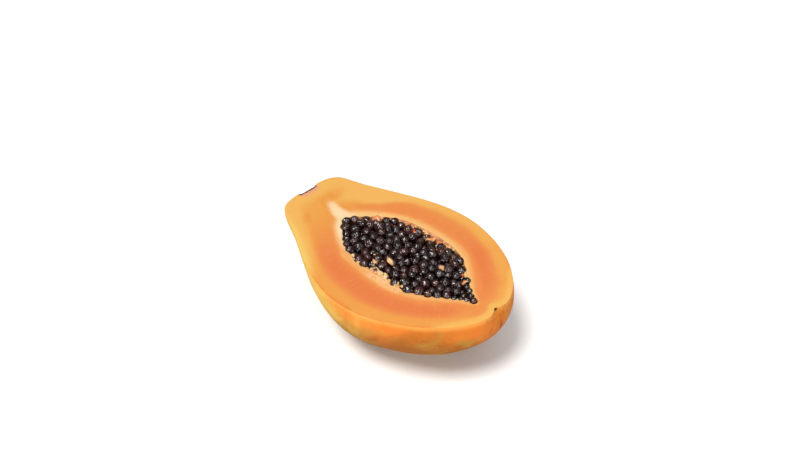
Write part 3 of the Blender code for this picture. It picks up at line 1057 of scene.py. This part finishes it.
    def assemble(self) -> Object:
        """Bridges the skin and the hollow's wall with the cut face, which follows the wall's dented edge.

        Returns:
            The half fruit, closed, in the fruit's own frame, with a finish for each region.
        """
        skin, wall = self.shell(Region.SKIN), self.shell(Region.HOLLOW)
        smooth_wall = Bench.points(wall)
        moved_wall, ridge = self.pitted(smooth_wall)
        Bench.attribute(skin, "ridge", 0.0)
        Bench.attribute(wall, "ridge", ridge)
        first_wall = len(skin.data.vertices)
        skin_faces, wall_faces = len(skin.data.polygons), len(wall.data.polygons)
        fruit = Bench.join([skin, wall], "papaya_flesh_and_skin")
        with Bench.editing(fruit, "DESELECT"):
            bpy.ops.mesh.select_mode(type="EDGE")
            bpy.ops.mesh.select_non_manifold(
                extend=False, use_wire=False, use_boundary=True, use_multi_face=False,
                use_non_contiguous=False, use_verts=False,
            )
            bpy.ops.mesh.bridge_edge_loops(
                number_cuts=self.rings_across, interpolation="LINEAR", smoothness=0.0
            )
        points = Bench.points(fruit)
        rim = np.abs(smooth_wall[:, 2]) < IN_PLANE
        shift = moved_wall[rim] - smooth_wall[rim]
        flat = np.flatnonzero(np.abs(points[:, 2]) < IN_PLANE)
        rows, gaps = nearest(points[flat, :2], smooth_wall[rim, :2])
        points[flat, :2] += shift[rows, :2] * fade(gaps, 0.0, self.cut_follows)[:, None]
        points[first_wall : first_wall + len(smooth_wall)] = moved_wall
        Bench.set_points(fruit, points)
        for finish in (SkinFinish(), CutFinish(), HollowFinish()):
            fruit.data.materials.append(finish.build())
        regions = np.full(len(fruit.data.polygons), Region.CUT.value, np.int32)
        regions[:skin_faces] = Region.SKIN.value
        regions[skin_faces : skin_faces + wall_faces] = Region.HOLLOW.value
        fruit.data.polygons.foreach_set("material_index", regions)
        with Bench.editing(fruit, "SELECT"):
            bpy.ops.mesh.normals_make_consistent(inside=False)
            bpy.ops.mesh.select_all(action="DESELECT")
        return fruit

    def round_rims(self, fruit: Object) -> None:
        """Rounds the edges between the cut face and its neighbours.

        Args:
            fruit: The half fruit.
        """
        sides: dict[tuple[int, int], set[int]] = {}
        for face in fruit.data.polygons:
            for key in face.edge_keys:
                sides.setdefault(key, set()).add(face.material_index)
        chosen = [
            Region.CUT.value in sides[edge.key] and len(sides[edge.key]) > 1 for edge in fruit.data.edges
        ]
        fruit.data.edges.foreach_set("select", chosen)
        Bench.only(fruit)
        bpy.ops.object.mode_set(mode="EDIT")
        bpy.ops.mesh.select_mode(type="EDGE")
        bpy.ops.mesh.bevel(offset=self.rim_round, segments=2, affect="EDGES", clamp_overlap=True)
        bpy.ops.mesh.select_all(action="DESELECT")
        bpy.ops.object.mode_set(mode="OBJECT")

    def measure(self, fruit: Object) -> None:
        """Stores at each point what the finishes need: distances from the edges, the station and the scars.

        All lengths in here are in millimetres.

        Args:
            fruit: The half fruit, in the fruit's own frame.
        """
        points = Bench.points(fruit) / MM
        skin_rim, wall_rim = (
            self.form.lines(region, count, (0.0, -math.pi)) / MM
            for region, count in ((Region.SKIN, 500), (Region.HOLLOW, 400))
        )
        _, from_skin = nearest(points, skin_rim)
        rows, from_hollow = nearest(points, wall_rim)
        x, y, z = points.T
        share, radius = x * MM / self.form.length, np.hypot(y, z)
        across = from_hollow / (from_hollow + from_skin + TINY)
        far = ease(y, -12, 8)
        # Painted light: the outer flesh on the far side and at the neck is made paler, as if lit from the upper
        # left.
        light = np.clip(0.7 * far + fade(share, 0.25, 0.5), 0.0, 1.0) * (1 - 0.5 * ease(share, 0.6, 0.9))
        light = np.maximum(light, ease(share, 0.86, 0.95) * fade(from_skin, 1, 7))
        widened = across + 0.3 * far * hump(share, 0.1, 0.16, 0.24, 0.4) + 0.15 * ease(share, 0.88, 0.96)
        near_stem = (1 - far) * fade(share, 0.28, 0.5) * (0.25 + 0.75 * ease(share, 0.05, 0.16))
        stemward = fade(share, 0.27, 0.42)
        band = 1.3 + 1.3 * far * fade(share, 0.62, 0.9) + (2.4 - 0.4 * far) * stemward
        halo = (0.5 + 0.2 * far + 0.6 * stemward) * np.exp(-((from_hollow / band) ** 1.5))
        core_stations = (14, 19, 31, 44)
        core_half = np.interp(x, core_stations, (2.0, 3.7, 5.6, 8.8))
        core_middle = np.interp(x, core_stations, (3.0, 1.4, -2.0, -2.8))
        core = fade(np.abs(y - core_middle) / core_half, 0.25, 1.25) * hump(x, 11, 36, 46, 54)
        far_spot = np.exp(-(((share - 0.8) / 0.14) ** 2))
        rosy = 0.35 + 0.65 * ((1 - far) * ease(share, 0.25, 0.45) + far * far_spot)
        rosy *= fade(share - 0.03 * far, 0.87, 0.95)
        start, end = (station / MM for station in self.tear)
        frayed = hump(x, start - 1, start + 4, end - 4, end + 1)
        at_stem = (share < 0.1) & (radius < 16)
        ring = np.exp(-(((radius - 7.4) / 1.1) ** 2)) * at_stem
        spokes = 0.5 + 0.5 * np.cos(9 * np.arctan2(-z, y) + 4.5 * lumps(points, 7, 17.0))
        reached = (share > 0.85) * hump(radius, 1.5, 4, 9, 24) * (0.45 + 0.55 * far) * (z < -0.5)
        for name, values in {
            "from_skin": from_skin * MM,
            "across": across,
            "along": share,
            "below_cut": -z * MM,
            "neck": fade(share, 0.12, 0.36),
            "painted_light_side": light * ease(widened, 0.52, 0.92),
            "lime": near_stem * fade(from_skin, 0.5, 6),
            "cream": np.clip(np.maximum(halo, core), 0.0, 1.0),
            "whiter": fade(share + 0.2 * far, 0.36, 0.52),
            "coral": ease(across, 0.12, 0.36) * fade(across + 0.06 * far, 0.5, 0.8) * rosy,
            "torn": frayed * fade(y, -16, -12) * fade(from_hollow, 2.0, 4.5),
            "round_hollow": run_along(wall_rim)[rows] * MM,
            "cork_line": hump(y, -8.6, -7.2, 6.6, 8.0) * (x < 12) * fade(from_skin, 0.8, 2.1),
            "pink": 0.85 * hump(y, -10, -5, 5, 10) * (x < 14) * fade(from_skin, 1, 8),
            "stem_scar": at_stem * fade(radius, 5.5, 8.0),
            "scar_edge": np.maximum(ring, (share > 0.9) * fade(radius, 0.7, 1.8)),
            "crease": reached * spokes * ease(lumps(points, 5, 23.0), -0.2, 0.4),
            "pucker": (share > 0.9) * fade(radius, 2, 16) * (0.5 + 0.5 * lumps(points, 3, 5.0)),
        }.items():
            Bench.attribute(fruit, name, values)

    def build(self) -> None:
        """Makes the half fruit, dressed. Its foot is pressed flat, and its dents stay in the node's box."""
        fruit = self.assemble()
        self.round_rims(fruit)
        self.measure(fruit)
        low, high = (np.array(corner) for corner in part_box("papaya_half"))
        Bench.set_points(fruit, np.clip(self.placing.move(Bench.points(fruit)), low, high))
        Bench.only(fruit)
        bpy.ops.object.shade_smooth_by_angle(angle=math.radians(60))
        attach(fruit, "root")
        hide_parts("papaya_half")
        LOG.info("%s: %d faces", fruit.name, len(fruit.data.polygons))


@dataclass
class SeedCore:
    """The dark mass of seeds and tissue that fills the hollow under the seeds that show."""

    form: FruitForm
    placing: Placing
    rings: int = 40
    gap: float = 1.6 * MM
    top: float = -9.0 * MM
    bumps: float = 0.9 * MM
    shade: float = 0.9

    def build(self) -> None:
        """Makes the core from a sphere, drawn to the hollow's shape and cut flat on top."""
        bpy.ops.mesh.primitive_uv_sphere_add(segments=48, ring_count=self.rings, radius=1.0)
        core = bpy.context.object
        core.name = core.data.name = "seed_core"
        points = Bench.points(core)
        profile = self.form.profile(Region.HOLLOW, self.rings + 1)[Bench.ring_of(points, self.rings)]
        profile[:, 1] = np.maximum(profile[:, 1] - self.gap, 0.0)
        moved = self.form.hollow(profile, np.arctan2(points[:, 1], points[:, 0]))
        moved[:, 2] = np.minimum(moved[:, 2], self.top + self.bumps * lumps(moved, 5 * MM, 31.0))
        Bench.set_points(core, self.placing.move(moved))
        with Bench.editing(core, "SELECT"):
            bpy.ops.mesh.remove_doubles(threshold=0.02 * MM)
            bpy.ops.mesh.normals_make_consistent(inside=False)
        bpy.ops.object.shade_smooth()
        Bench.attribute(core, "shade", self.shade)
        core.data.materials.append(bpy.data.materials["papaya_seed"])
        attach(core, "root")
        LOG.info("%s: %d faces", core.name, len(core.data.polygons))


@dataclass
class Tissue:
    """Pale scraps of tissue among the seeds and along the hollow's edge."""

    form: FruitForm
    placing: Placing
    bed: SeedBed
    seed: int = 5
    shapes: int = 6
    edge_count: int = 64
    torn_edge: tuple[float, float] = (86 * MM, 110 * MM)
    torn_count: int = 28
    squash: tuple[float, float, float] = (1.3, 0.8, 0.32)
    tilt: float = 0.4
    loose: tuple = (
        (84.0, -20.0, 0.65, 2.5, 0.0), (90.8, -12.6, -0.5, 3.6, 0.0), (79.0, -14.5, 0.4, 1.2, 0.0),
        (117.0, 3.2, 1.0, 2.0, 0.42), (88.0, -17.5, 0.8, 1.3, 0.0), (133.7, 4.7, -0.2, 2.2, 0.1),
        (69.0, -24.0, -0.2, 1.5, 0.0), (72.6, -25.0, -0.1, 1.8, 0.0), (76.5, -25.6, 0.0, 1.3, 0.0),
        (50.0, 7.5, -3.4, 2.2, 0.7), (55.5, 9.5, -0.8, 3.2, 0.55), (63.0, 13.5, -2.8, 2.4, 0.85),
        (72.0, 19.5, -2.2, 2.6, 0.5), (81.0, 18.5, -0.7, 2.0, 0.7), (92.0, 21.5, -2.4, 2.6, 0.3),
        (100.0, 20.0, -2.6, 2.6, 0.6), (116.0, 17.0, -2.2, 2.8, 0.3), (128.0, 11.5, -2.4, 2.6, 0.8),
    )

    def model(self, number: int) -> Object:
        """Models one scrap: a flat ragged flake, pinched at its ends.

        Args:
            number: Which of the shapes.

        Returns:
            The scrap, of radius about 1, at the origin.
        """
        bpy.ops.mesh.primitive_ico_sphere_add(subdivisions=3, radius=1.0)
        scrap = bpy.context.object
        points = Bench.points(scrap)
        ragged = 1 + 0.55 * lumps(points, 0.7, 3.0 * number + 1)
        pinch = 1 - 0.5 * ease(np.abs(points[:, 0]), 0.4, 1.0)
        points = points * ragged[:, None] * self.squash
        points[:, 1:] *= pinch[:, None]
        points[:, 2] += 0.25 * np.sin(2.2 * points[:, 0] + number)
        Bench.set_points(scrap, points)
        return scrap

    def edge_places(self) -> list[tuple[np.ndarray, float, float, float]]:
        """Finds places along the hollow's edge that lie between seeds.

        Returns:
            Place, radius, turn in plan and redness of each scrap.
        """
        rng = np.random.default_rng(self.seed)
        profile = self.form.profile(Region.HOLLOW, 300)
        places = []
        while len(places) < self.edge_count + self.torn_count:
            torn = len(places) >= self.edge_count
            near = torn or rng.random() < 0.4
            row = int(rng.integers(6, 292))
            spot, ahead = self.form.hollow(profile[row : row + 2], np.full(2, -math.pi if near else 0.0))
            if torn and not self.torn_edge[0] < spot[0] < self.torn_edge[1]:
                continue
            size = rng.uniform(0.8, 1.9) if torn else rng.uniform(0.7, 1.6)
            reach = rng.uniform(1.6, 4.8) if torn else size * rng.uniform(0.9, 1.4)
            drop = rng.uniform(-0.5, 0.5) if torn else 0.5 * size + rng.uniform(0.4, 1.5)
            place = spot + (0.0, (reach if near else -reach) * MM, -drop * MM)
            gaps = np.linalg.norm(self.bed.centres - place, axis=1) - self.bed.radii
            if not torn and gaps.min() < 0.1 * MM:
                continue
            run = ahead - spot
            redness = 0.0 if near else rng.uniform(0.0, 0.62)
            places.append((place, size * MM, math.atan2(run[1], run[0]), redness))
        return places

    def build(self) -> None:
        """Makes all the scraps, as one piece."""
        rng = np.random.default_rng(self.seed + 9)
        shapes = [self.model(number) for number in range(self.shapes)]
        wanted = self.edge_places()
        for x, y, z, radius, redness in self.loose:
            wanted.append((np.array((x, y, z)) * MM, radius * MM, rng.uniform(0.0, math.pi), redness))
        spots = (
            (shapes[i % self.shapes], self.placing.move(place),
             (rng.normal(0, self.tilt), rng.normal(0, self.tilt), turn + rng.normal(0, 0.3)), radius, redness)
            for i, (place, radius, turn, redness) in enumerate(wanted)
        )
        scraps = Bench.crowd("tissue_scraps", shapes, spots, "redness")
        scraps.data.materials.append(TissueFinish().build())
        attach(scraps, "root")
        LOG.info("%s: %d scraps, %d faces", scraps.name, len(wanted), len(scraps.data.polygons))


@dataclass
class Studio:
    """A plain pale floor, soft light from the upper left, and the camera."""

    placing: Placing
    target: tuple[float, float] = (70.4 * MM, 16.0 * MM)
    azimuth: float = math.radians(43.6)
    elevation: float = math.radians(40.0)
    distance: float = 507.6 * MM
    lens: float = 36.0
    sensor: float = 36.0
    warm: Colour = (1.0, 0.99, 0.97)
    white: Colour = (1.0, 1.0, 1.0)

    def away(self, right: float, back: float, up: float) -> Vector:
        """Gives a place by how far it lies to the camera's right, away from the camera and up."""
        along, across = math.cos(self.azimuth), math.sin(self.azimuth)
        return Vector((along * right - across * back, across * right + along * back, up))

    def camera(self) -> None:
        """Sets the camera where the photograph was taken from."""
        target = Vector(self.placing.move(np.array([[*self.target, 0.0]]))[0])
        back = self.away(0.0, -math.cos(self.elevation), math.sin(self.elevation))
        bpy.ops.object.camera_add(location=target + back * self.distance)
        camera = bpy.context.object
        camera.name = "camera"
        camera.rotation_euler = (-back).to_track_quat("-Z", "Y").to_euler()
        camera.data.lens = self.lens
        camera.data.sensor_width = self.sensor
        camera.data.clip_start = 0.01
        bpy.context.scene.camera = camera

    def lamp(self, name: str, place: Vector, size: float, power: float, colour: Colour) -> None:
        """Hangs a light that faces the fruit.

        Args:
            name: Its name, which ends in sun if it is one.
            place: Where it hangs.
            size: Its side in metres, or a sun's width in radians.
            power: Its power.
            colour: Its colour.
        """
        is_sun = name.endswith("sun")
        bpy.ops.object.light_add(type="SUN" if is_sun else "AREA", location=place)
        light = bpy.context.object
        light.name = name
        light.rotation_euler = (Vector((0, 0, 0.03)) - place).to_track_quat("-Z", "Y").to_euler()
        setattr(light.data, "angle" if is_sun else "size", size)
        light.data.energy = power
        light.data.color = colour

    def sky(self) -> None:
        """Lights the room from its ceiling, and a little from its walls. The backdrop itself shows pale."""
        world = bpy.data.worlds.new("pale_room")
        world.use_nodes = True
        nodes = Shading(world.node_tree)
        direction = nodes.add("ShaderNodeTexCoord").outputs["Generated"]
        up = nodes.add("ShaderNodeSeparateXYZ", {0: direction}).outputs[2]
        seen = nodes.add("ShaderNodeLightPath").outputs["Is Camera Ray"]
        background = world.node_tree.nodes["Background"]
        background.inputs["Color"].default_value = (1.0, 1.0, 1.0, 1.0)
        room = nodes.span(up, 0.72, 0.95, 0.1, 1.05)
        nodes.feed(background.inputs["Strength"], nodes.maths("MAXIMUM", room, seen))
        bpy.context.scene.world = world

    def build(self) -> None:
        """Sets up the floor, the lights and the camera."""
        bpy.ops.mesh.primitive_plane_add(size=8.0)
        floor = bpy.context.object
        floor.name = "floor"
        material, _, shader = new_finish("plain_floor", Roughness=0.9, Specular_IOR_Level=0.0)
        shader.inputs["Base Color"].default_value = (0.95, 0.95, 0.95, 1.0)
        floor.data.materials.append(material)
        self.sky()
        self.lamp("key_sun", self.away(-0.3, -0.28, 0.95), math.radians(22), 2.6, self.warm)
        self.lamp("front_fill", self.away(-0.3, -1.1, 0.45), 0.5, 4.6, self.warm)
        self.lamp("right_fill", self.away(0.8, -0.8, 0.45), 0.6, 3.2, self.white)
        self.camera()
        scene = bpy.context.scene
        scene.view_settings.view_transform = "Standard"
        scene.view_settings.look = "None"


def main() -> None:
    """Builds the half papaya, its seeds and the studio."""
    logging.basicConfig(level=logging.INFO, format="%(name)s: %(message)s")
    form = FruitForm()
    placing = Placing.onto("papaya_half", form)
    bed = SeedBed(form, placing)
    bed.shake()
    HalfFruit(form, placing, bed).build()
    bed.build()
    SeedCore(form, placing).build()
    Tissue(form, placing, bed).build()
    Studio(placing).build()


if __name__ == "__main__":
    main()
